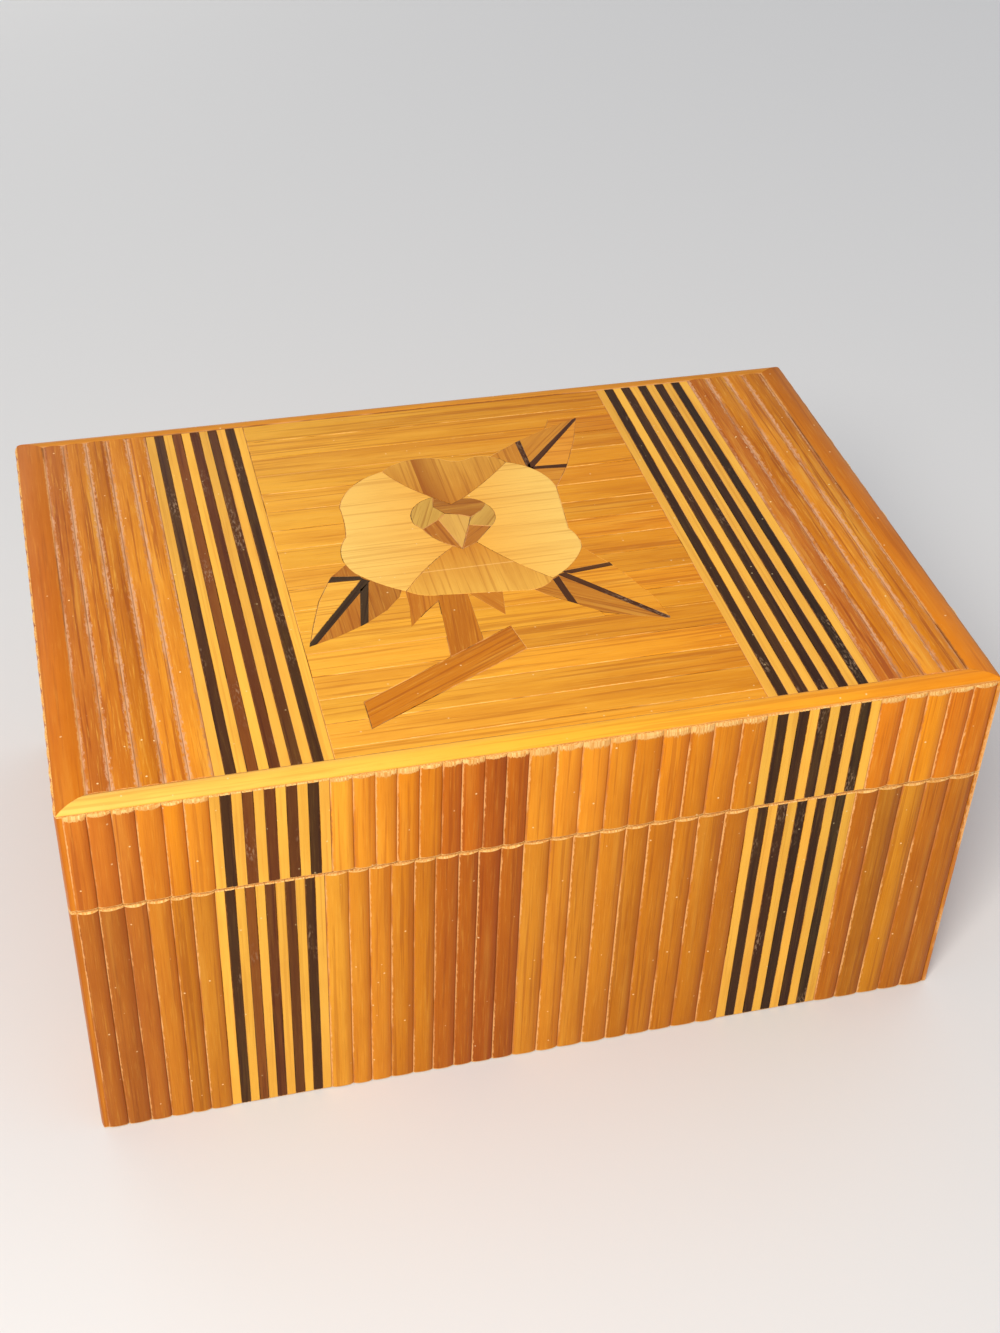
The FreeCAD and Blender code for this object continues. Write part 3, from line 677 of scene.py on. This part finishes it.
CANE_THICKNESS = 2.0 * MM
CANE_SMOOTH_BELOW = 30.0
SLAT_EDGE = 1.25 * MM
SLAT_FACETS = 14
SLAT_ROUNDNESS = 0.72
SLAT_LEAN = 0.15
SLAT_SWELL = (0.88, 1.0)
SLAT_KNOTS = 5
SLAT_RING = 5.0 * MM
SLAT_FOOT = 0.45 * MM
FACET_SHARE = 0.8
SLAT_SHIFT = 0.4 * MM
SLAT_WANDER = 0.09 * MM
SLAT_GLUE = 0.08 * MM
# Where the pale left edge of a cane slat begins: partly dust and partly a painted highlight
RIM_FROM = 0.77
SIDE_RIM = 0.35
# Where the painted shade on a cane slat's right side begins
PAINTED_SHADE_FROM = 0.15
DUSTY_EDGE = 1.35 * MM
DUSTY_RIM_FROM = 0.56
END_FACET = 0.3 * MM
FACET_VARIES = (0.2, 2.2)
WEAR_VARIES = (0.5, 1.4)
SLAT_VARIES = (0.93, 1.07)
NEAR_END_VARIES = (0.9, 1.0)
FAR_END_VARIES = (0.95, 1.04)
CAP_RAWNESS = 0.8
CANE = {
    "straw": (244, 164, 42),
    "gold": (236, 148, 30),
    "amber": (224, 134, 14),
    "orange": (230, 138, 26),
    "rust": (206, 116, 26),
    "russet": (230, 131, 13),
    "honey": (255, 160, 18),
    "brown": (200, 106, 6),
    "umber": (184, 92, 4),
}


def along_knots(knots, share):
    """A value that runs smoothly through evenly spaced knots."""
    place = share * (len(knots) - 1)
    k = min(int(place), len(knots) - 2)
    return knots[k] + (knots[k + 1] - knots[k]) * (place - k)


def lay_slat(mesh, marks, sides, span, crest, face, tint, seed, thickness, sanded, wear, dusty):
    """One half-round slat between two slightly wandering side lines."""
    rightward, along = DIRECTIONS[face]
    outward = rightward.cross(along)
    low, high = span
    board = crest - thickness
    start = Vector((seed.random(), seed.random(), seed.random()))
    lean = seed.uniform(-SLAT_LEAN, SLAT_LEAN)
    swell = [seed.uniform(*SLAT_SWELL) for k in range(SLAT_KNOTS)]
    edge = DUSTY_EDGE if dusty else SLAT_EDGE
    rim_from = DUSTY_RIM_FROM if dusty else RIM_FROM
    facets = {end: END_FACET * seed.uniform(*FACET_VARIES) for end in sanded}
    if wear:
        facets = {end: min(depth, FACET_SHARE * (SLAT_FOOT if end == "low" else wear))
                  for end, depth in facets.items()}
    count = max(2, round((high - low) / SLAT_RING))
    places = [low + (high - low) * number / count for number in range(count + 1)]
    if wear:
        places = [low, low + SLAT_FOOT] + places[1:-1] + [high - wear, high]

    def vert_at(t, share, place, z, worn):
        left, right = (along_knots(side, share) for side in sides)
        x = left + (right - left) * (t + 1) / 2
        made = mesh.verts.new(rightward * x + along * place + outward * z)
        made[marks["tint"]] = (*tint(share), 1)
        made[marks["grain"]] = Vector((x, place, z)) + start
        # Left edge: pale seam colour, partly dust and partly a painted highlight. Right part: a
        # negative mark, painted shade.
        if z == board:
            made[marks["rim"]] = SIDE_RIM
        elif t < 0 or dusty:
            made[marks["rim"]] = max(0.0, abs(t) - rim_from) / (1 - rim_from)
        else:
            made[marks["rim"]] = -max(0.0, t - PAINTED_SHADE_FROM) / (1 - PAINTED_SHADE_FROM)
        made[marks["worn"]] = worn
        return made

    rings = []
    for number, place in enumerate(places):
        share = (place - low) / (high - low)
        end = {0: "low", len(places) - 1: "high"}.get(number)
        inward = 1 if end == "low" else -1
        worn = 1.0 if end and wear else 0.0
        shelf = crest - facets[end] if end in facets else crest + 1
        ring = [vert_at(-1, share, place, board, worn)]
        for step in range(SLAT_FACETS + 1):
            t = math.sin(math.pi / 2 * (2 * step / SLAT_FACETS - 1))
            rounding = (1 - t * t) ** SLAT_ROUNDNESS * (1 + lean * t)
            rise = (thickness - edge) * min(1.0, rounding) * along_knots(swell, share)
            z = board + edge + rise
            ring.append(vert_at(t, share, place + inward * max(0.0, z - shelf), z, worn))
        ring.append(vert_at(1, share, place, board, worn))
        rings.append(ring)
    for one, two in zip(rings, rings[1:]):
        for k in range(len(one)):
            mesh.faces.new((one[k - 1], one[k], two[k], two[k - 1]))
    for end, ring, place in (("low", rings[0], low), ("high", rings[-1], high)):
        if end in facets and crest - facets[end] > board + edge:
            shelf = crest - facets[end]
            rim = []
            for vert in ring[1:-1]:
                level = Vector(vert.co) + along * (place - vert.co.dot(along))
                drop = max(0.0, level.dot(outward) - shelf)
                low_vert = mesh.verts.new(level - outward * drop)
                for kind in ("tint", "grain", "rim", "worn"):
                    low_vert[marks[kind]] = vert[marks[kind]]
                rim.append(low_vert)
            for k in range(len(rim) - 1):
                facet = mesh.faces.new((ring[k + 1], ring[k + 2], rim[k + 1], rim[k]))
                facet[marks["raw"]] = 1.0
            cap = mesh.faces.new([ring[0]] + rim + [ring[-1]])
        else:
            cap = mesh.faces.new(ring)
        cap[marks["raw"]] = CAP_RAWNESS


def run_of(*names):
    """A run's tint from left to right, even steps between named canes."""
    def tone(share):
        place = share * (len(names) - 1)
        k = min(int(place), len(names) - 2)
        first, second = Vector(linear(CANE[names[k]])), Vector(linear(CANE[names[k + 1]]))
        return first.lerp(second, place - k)
    return tone


def each_of(*names):
    """A run whose slats each have a cane of their own."""
    def tone(share):
        return Vector(linear(CANE[names[min(int(share * len(names)), len(names) - 1)]]))
    return tone


def crown_of(patch, rightward, along):
    """A frame slat's place: its sides, its ends and its crest."""
    points = [(p.dot(rightward), p.dot(along), p.dot(rightward.cross(along)))
              for triangle in patch for p in triangle]
    across, lengths, heights = zip(*points)
    return min(across), max(across), min(lengths), max(lengths), max(heights)


def lay_slats(node, face, body, tone, darkening=1.0, thickness=CANE_THICKNESS,
              sanded=("low", "high"), wear=0.0, dusty=False, far_painted_shade=1.0):
    """All the slats of one node, tinted by a rule from left to right."""
    chooser = random.Random(node)
    mesh = bmesh.new()
    marks = add_marks(mesh)
    rightward, along = DIRECTIONS[face]
    crowns = sorted(crown_of(patch, rightward, along)
                    for patch in facing_patches(node, rightward.cross(along)))
    left_side = [crowns[0][0]] * SLAT_KNOTS
    for number, (left, right, low, high, crest) in enumerate(crowns):
        last = number + 1 == len(crowns) or crowns[number + 1][0] > right + SLAT_SHIFT
        shift = 0.0 if last else chooser.uniform(-SLAT_SHIFT, SLAT_SHIFT)
        wander = 0.0 if last else SLAT_WANDER
        right_side = [right + shift + chooser.uniform(-wander, wander)
                      for k in range(SLAT_KNOTS)]
        # The darkening multiplies the slat's tint; on the base's slats it is painted shade.
        own = tone((number + 0.5) / len(crowns)) * darkening * chooser.uniform(*SLAT_VARIES)
        near_end = own * chooser.uniform(*NEAR_END_VARIES)
        # Towards its far end a slat may be darkened further: painted shade.
        far_end = own * chooser.uniform(*FAR_END_VARIES) * far_painted_shade
        lay_slat(mesh, marks, (left_side, right_side), (low, high), crest, face,
                 lambda share: near_end.lerp(far_end, share), chooser, thickness, sanded,
                 wear * chooser.uniform(*WEAR_VARIES), dusty)
        gap = SLAT_GLUE if not last else crowns[(number + 1) % len(crowns)][0] - right
        left_side = [place + gap for place in right_side]
    bmesh.ops.remove_doubles(mesh, verts=mesh.verts, dist=WELD_GAP)
    bmesh.ops.recalc_face_normals(mesh, faces=mesh.faces)
    finish = dusty_cane if dusty else cane
    piece = add_piece(node + "_in_cane", mesh, body, finish, CANE_SMOOTH_BELOW)
    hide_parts(node)
    return piece


cane = straw("cane", glue=(196, 116, 52), seam=(246, 182, 112), shade=0.30, streaks=0.40,
             relief=0.14, gloss=0.32, rubbed=0.20, specks=0.8, broken=0.85, seam_share=0.85)
dusty_cane = straw("dusty_cane", glue=(192, 124, 70), seam=(222, 168, 124), shade=0.40,
                   streaks=0.7, relief=0.14, gloss=0.34, rubbed=0.45, specks=0.9, broken=1.0,
                   seam_share=0.8)
# Each run: its tints, the painted shade that darkens the base beside the lid, and how far the
# lid's ends fray
FRONT_RUNS = {
    "left": (each_of("rust", "rust", "rust", "orange", "amber", "gold"), 0.78, 1.6 * MM),
    "middle_left": (each_of("straw", "gold", "gold", "amber", "amber", "brown", "brown", "umber",
                            "brown"), 0.86, 2.0 * MM),
    "middle_right": (run_of("gold", "gold", "amber", "amber", "amber"), 0.80, 3.4 * MM),
    "right": (each_of("russet", "amber", "honey", "russet", "russet"), 0.63, 2.4 * MM),
}
SEAM_WEAR = 0.6 * MM
# Painted shade: the base's sides and back are darker than the lid's.
BASE_PAINTED_SHADE = 0.84
SIDE_TINTS = run_of("amber", "rust", "orange")
for run, (tone, darkening, fray) in FRONT_RUNS.items():
    lay_slats(f"lid_front_slats_{run}", "front", "lid", tone, wear=fray)
    lay_slats(f"base_front_slats_{run}", "front", "base", tone, darkening, wear=SEAM_WEAR)
for side in ("left", "right"):
    lay_slats(f"lid_{side}_slats", side, "lid", SIDE_TINTS, wear=SEAM_WEAR)
    lay_slats(f"base_{side}_slats", side, "base", SIDE_TINTS, BASE_PAINTED_SHADE, wear=SEAM_WEAR)

# The slats of the back
# The same cane in three runs between the bands, notched round the knuckles
# of the two hinges.

HINGE_ROOM = 0.3 * MM
NOTCH_DEPTH = 10 * MM
BACK_TINTS = run_of("rust", "amber", "orange", "brown")


def mend_marks(sawn, whole, face):
    """Marks the corners that a saw cut has made as their neighbours are marked."""
    rightward, along = DIRECTIONS[face]
    outward = rightward.cross(along)
    near = KDTree(len(whole.vertices))
    for vert in whole.vertices:
        near.insert(vert.co, vert.index)
    near.balance()
    new, old = sawn.attributes, whole.attributes
    for vert in sawn.vertices:
        spot, index, distance = near.find(vert.co)
        if distance > WELD_GAP:
            step = vert.co - spot
            moved = Vector((step.dot(rightward), step.dot(along), step.dot(outward)))
            grain = Vector(old["grain"].data[index].vector) + moved
            new["tint"].data[vert.index].color = old["tint"].data[index].color
            new["grain"].data[vert.index].vector = grain
            new["rim"].data[vert.index].value = 0.0
            new["worn"].data[vert.index].value = 0.0


def notch_round_hinges(piece):
    """Cuts the back slats clear of the knuckles, as on the frame."""
    whole = piece.data
    tool_mesh = bmesh.new()
    for side in ("left", "right"):
        low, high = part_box(f"{side}_hinge_pin")
        knuckle_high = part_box(f"{side}_hinge_base_leaf")[1]
        radius = knuckle_high.z - (low.z + high.z) / 2 + HINGE_ROOM
        size = Vector((high.x - low.x + 2 * HINGE_ROOM, NOTCH_DEPTH, 2 * radius))
        middle = Vector(((low.x + high.x) / 2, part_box("base_back_wall")[1].y + size.y / 2,
                         (low.z + high.z) / 2))
        cube = bmesh.ops.create_cube(tool_mesh, size=1.0)["verts"]
        for vert in cube:
            vert.co = Vector(a * b for a, b in zip(vert.co, size)) + middle
    cut_away(piece, tool_mesh)
    mend_marks(piece.data, whole, "back")


for half_name, darkening in (("base", BASE_PAINTED_SHADE), ("lid", 1.0)):
    notch_round_hinges(lay_slats(f"{half_name}_back_slats", "back", half_name, BACK_TINTS,
                                 darkening, wear=SEAM_WEAR))

# The slats of the top
# Nine slats run front to back at the two ends of the lid. They are a little
# thinner than the others, and dust lies pale in their grooves.

TOP_THICKNESS = 1.9 * MM
TOP_DULLNESS = 0.97
# Painted shade: the top slats darken towards the back.
TOP_FAR_PAINTED_SHADE = 0.84
for side, tone in (("left", each_of("rust", "orange", "amber", "gold", "gold")),
                   ("right", each_of("rust", "amber", "gold", "amber"))):
    lay_slats(f"top_slats_{side}", "top", "lid", tone, TOP_DULLNESS, TOP_THICKNESS, (),
              dusty=True, far_painted_shade=TOP_FAR_PAINTED_SHADE)

# The field
# Honey-coloured straw splints, flattened and laid across the lid in rows,
# which end against the flower and the two bands.

FIELD_JOINT = 0.28 * MM
FIELD_LEFT_PAINT = (245, 175, 54)
FIELD_RIGHT_PAINT = (229, 144, 21)
FIELD_SPREAD = 0.10
# Painted shade: the field darkens towards the back.
FIELD_FAR_PAINTED_SHADE = 0.88


def middle_of(patch):
    """The middle of a patch's corners."""
    points = [corner for triangle in patch for corner in triangle]
    return sum(points, Vector()) / len(points)


field_straw = straw("field_straw", glue=(160, 92, 28), seam=(255, 206, 120), shade=0.25,
                    streaks=0.45, rubbed=0.30, specks=0.45, broken=0.6, seam_share=0.8)
chooser = random.Random("field")
mesh = bmesh.new()
marks = add_marks(mesh)
low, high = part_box("field_strips")
for patch in facing_patches("field_strips", UP):
    # Each splint is darkened by how far back it lies: painted shade.
    how_far = (middle_of(patch).y - low.y) / (high.y - low.y)
    darkening = 1 + (FIELD_FAR_PAINTED_SHADE - 1) * how_far
    left_tint = toned(FIELD_LEFT_PAINT, FIELD_SPREAD, chooser) * darkening
    right_tint = toned(FIELD_RIGHT_PAINT, FIELD_SPREAD, chooser) * darkening
    lay_tile(mesh, marks, patch, UP, faded(left_tint, right_tint, low.x, high.x, 0), RIGHTWARD,
             chooser, FIELD_JOINT)
bmesh.ops.dissolve_degenerate(mesh, edges=mesh.edges, dist=WELD_GAP)
piece = add_piece("field_splints", mesh, "lid", field_straw, FLAT_BELOW)
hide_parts("field_strips")

# The inlaid flower
# Petals, leaves, sepals and stem are sawn from straw of several shades and
# let in flush with the field. Hot sand has browned one side of the top petal.

INLAY_JOINT = 0.32 * MM
VEIN_JOINT = 0.08 * MM
PETAL_OUTER_PAINT = (252, 204, 104)
PETAL_INNER_PAINT = (246, 178, 70)
TOP_PETAL_PAINTS = ((206, 132, 36), (222, 158, 58))
BOTTOM_PETAL_PAINTS = ((240, 180, 74), (212, 134, 34))
# Where the petal is darkest and where it is pale again, and how dark it gets
SCORCH = ("X", -8.5 * MM, 2.0 * MM, 0.85)
# Where the split lies, half its width, and how pale it is
CRACK = ("Y", -6.5 * MM, 0.3 * MM, 0.7)
SEPAL_PAINT = (204, 124, 28)
STEM_PAINT = (192, 112, 16)
STEM_WAY = Vector((0.12, 1, 0)).normalized()
BRANCH_PAINT = (206, 122, 14)
BRANCH_WAY = Vector((0.89, 0.46, 0)).normalized()
VEIN_PAINTS = {"left": (66, 45, 20), "right": (84, 46, 12)}
PLAIN_SPREAD = 0.05
PICKED_SPREAD = 0.04
# Each inlay: where it lies in millimetres, its paint, and its grain's way or None for its length
BLADE_PAINTS = (
    ((22.8, 48.5), (206, 134, 38), AWAY),
    ((34.5, 55.3), (212, 138, 40), None),
    ((38.9, 48.8), (230, 152, 44), RIGHTWARD),
    ((32.9, 35.7), (212, 138, 40), RIGHTWARD),
    ((30.1, -10.1), (228, 150, 34), RIGHTWARD),
    ((36.1, -23.8), (234, 156, 36), RIGHTWARD),
    ((27.0, -28.4), (208, 132, 30), None),
    ((21.6, -14.8), (196, 124, 32), None),
    ((-33.0, -13.8), (184, 112, 30), AWAY),
    ((-45.4, -15.0), (242, 176, 60), RIGHTWARD),
    ((-43.3, -24.5), (188, 116, 32), AWAY),
)
CENTRE_PAINTS = (
    ((-2.7, 14.2), (226, 172, 80), AWAY),
    ((-10.3, 22.4), (214, 164, 72), None),
    ((0.6, 24.0), (178, 110, 34), RIGHTWARD),
    ((6.3, 17.2), (210, 160, 72), None),
    ((1.6, 9.1), (188, 116, 36), None),
    ((-8.1, 11.3), (186, 112, 32), None),
)


def lengthwise(patch):
    """The direction in which a flat inlay is longest."""
    loop = outline_of(patch)
    pairs = [(a, b) for a in loop for b in loop]
    first, second = max(pairs, key=lambda pair: (pair[0] - pair[1]).length)
    return (first - second).normalized()


def inlay(node, tint_of, material, joint=INLAY_JOINT):
    """Lays the inlays of one node. The rule gives each its tint and grain."""
    chooser = random.Random(node)
    mesh = bmesh.new()
    marks = add_marks(mesh)
    for patch in facing_patches(node, UP):
        tint, grain_way = tint_of(patch, chooser)
        lay_tile(mesh, marks, patch, UP, tint, grain_way or lengthwise(patch), chooser, joint)
    bmesh.ops.dissolve_degenerate(mesh, edges=mesh.edges, dist=WELD_GAP)
    piece = add_piece(node + "_inlaid", mesh, "lid", material, FLAT_BELOW)
    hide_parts(node)


def plain(paint, grain_way=None):
    """A rule for inlays of one paint."""
    def rule(patch, chooser):
        own = toned(paint, PLAIN_SPREAD, chooser)
        return lambda place: own, grain_way
    return rule


def picked(paints):
    """A rule for inlays that each have a paint, chosen by where they lie."""
    def rule(patch, chooser):
        middle = middle_of(patch)
        nearest = min(paints, key=lambda row: (Vector((*row[0], 0)) * MM - middle).xy.length)
        own = toned(nearest[1], PICKED_SPREAD, chooser)
        return lambda place: own, nearest[2]
    return rule


def running(first, second, axis, grain_way):
    """A rule for an inlay whose tint runs from its low side to its high side."""
    def rule(patch, chooser):
        reach = [corner[axis] for triangle in patch for corner in triangle]
        low_tint, high_tint = Vector(linear(first)), Vector(linear(second))
        return faded(low_tint, high_tint, min(reach), max(reach), axis), grain_way
    return rule


def side_petal(patch, chooser):
    """Pale outside, warmer towards the middle of the flower."""
    paints = [PETAL_OUTER_PAINT, PETAL_INNER_PAINT]
    if middle_of(patch).x > 0:
        paints.reverse()
    return running(*paints, 0, RIGHTWARD)(patch, chooser)


def vein(patch, chooser):
    """Nearly black in the left leaf, browner in the right ones."""
    side = "left" if middle_of(patch).x < 0 else "right"
    return plain(VEIN_PAINTS[side])(patch, chooser)


inlay_straw = straw("inlay_straw", glue=(80, 44, 14), seam=(230, 168, 98), shade=0.24,
                    streaks=0.48, rubbed=0.30)
petal_straw = straw("petal_straw", glue=(104, 60, 20), seam=(186, 126, 62), shade=0.10,
                    streaks=0.32, line_scale=760.0, rubbed=0.12)
top_petal_straw = straw("top_petal_straw", glue=(92, 52, 18), seam=(176, 116, 58),
                        shade=0.25, streaks=0.40, rubbed=0.20, scorch=SCORCH)
bottom_petal_straw = straw("bottom_petal_straw", glue=(120, 72, 28), seam=(255, 196, 112),
                           shade=0.2, streaks=0.35, rubbed=0.20, crack=CRACK)
inlay("flower_side_petals", side_petal, petal_straw)
inlay("flower_top_petal", running(*TOP_PETAL_PAINTS, 1, AWAY), top_petal_straw)
inlay("flower_bottom_petal", running(*BOTTOM_PETAL_PAINTS, 1, AWAY), bottom_petal_straw)
inlay("flower_centre", picked(CENTRE_PAINTS), inlay_straw)
inlay("leaf_blades", picked(BLADE_PAINTS), inlay_straw)
inlay("leaf_veins", vein, dark_straw, VEIN_JOINT)
inlay("flower_sepals", plain(SEPAL_PAINT), inlay_straw)
inlay("flower_stem", plain(STEM_PAINT, STEM_WAY), inlay_straw)
inlay("flower_branch", plain(BRANCH_PAINT, BRANCH_WAY), inlay_straw)

# The edging
# Four rounded cane bars frame the top, mitred at the corners. The front one
# is paler and frayed along its lower edge, and the other three are browner.

BAR_STEP = 4.0 * MM
BAR_OVERHANG = 1.3 * MM
BAR_RIM = 0.5 * MM
BAR_FRAY = 0.5 * MM
# Each bar: its paints from end to end, its axis, its outer side, and how much that side frays
EDGING = {
    "edging_front": (((252, 198, 90), (249, 180, 50), (236, 142, 20)), 0, -1, 0.5),
    "edging_back": (((206, 132, 46), (214, 142, 46), (206, 132, 40)), 0, 1, 0.0),
    "edging_left": (((207, 114, 6), (201, 108, 4), (199, 112, 18)), 1, -1, 0.2),
    "edging_right": (((222, 128, 14), (204, 116, 12), (190, 108, 14)), 1, 1, 0.0),
}

edging_cane = straw("edging_cane", glue=(156, 92, 38), seam=(222, 158, 92), shade=0.22,
                    streaks=0.30, relief=0.12, rubbed=0.16, broken=0.5)
edge_left, edge_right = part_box("top_slats_left")[0].x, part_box("top_slats_right")[1].x
box_left, box_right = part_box("edging_left")[0].x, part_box("edging_right")[1].x
for node, (paints, axis, outer, fray) in EDGING.items():
    mesh = merged_copy(node)
    along = (RIGHTWARD, AWAY)[axis]
    low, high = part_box(node)
    place = low[axis] + BAR_STEP
    while place < high[axis]:
        geometry = list(mesh.verts) + list(mesh.edges) + list(mesh.faces)
        bmesh.ops.bisect_plane(mesh, geom=geometry, plane_co=along * place, plane_no=along)
        place += BAR_STEP
    marks = add_marks(mesh)
    knots = [Vector(linear(paint)) for paint in paints]
    outer_side, inner_side = (high, low) if outer > 0 else (low, high)
    width = abs(outer_side[1 - axis] - inner_side[1 - axis])
    for vert in mesh.verts:
        share = (vert.co[axis] - low[axis]) / (high[axis] - low[axis])
        vert[marks["tint"]] = (*along_knots(knots, share), 1)
        vert[marks["grain"]] = Vector((vert.co[1 - axis], vert.co[axis], vert.co.z))
        from_inner = abs(vert.co[1 - axis] - inner_side[1 - axis])
        vert[marks["rim"]] = max(0.0, 1 - from_inner / BAR_RIM)
        if vert.co.z < low.z + BAR_FRAY and from_inner > width / 2:
            vert[marks["worn"]] = fray
    for vert in mesh.verts:
        if vert.co.x < edge_left:
            vert.co.x -= BAR_OVERHANG * (edge_left - vert.co.x) / (edge_left - box_left)
        if vert.co.x > edge_right:
            vert.co.x += BAR_OVERHANG * (vert.co.x - edge_right) / (box_right - edge_right)
    bmesh.ops.recalc_face_normals(mesh, faces=mesh.faces)
    piece = add_piece(node + "_bar", mesh, "lid", edging_cane)
    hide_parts(node)
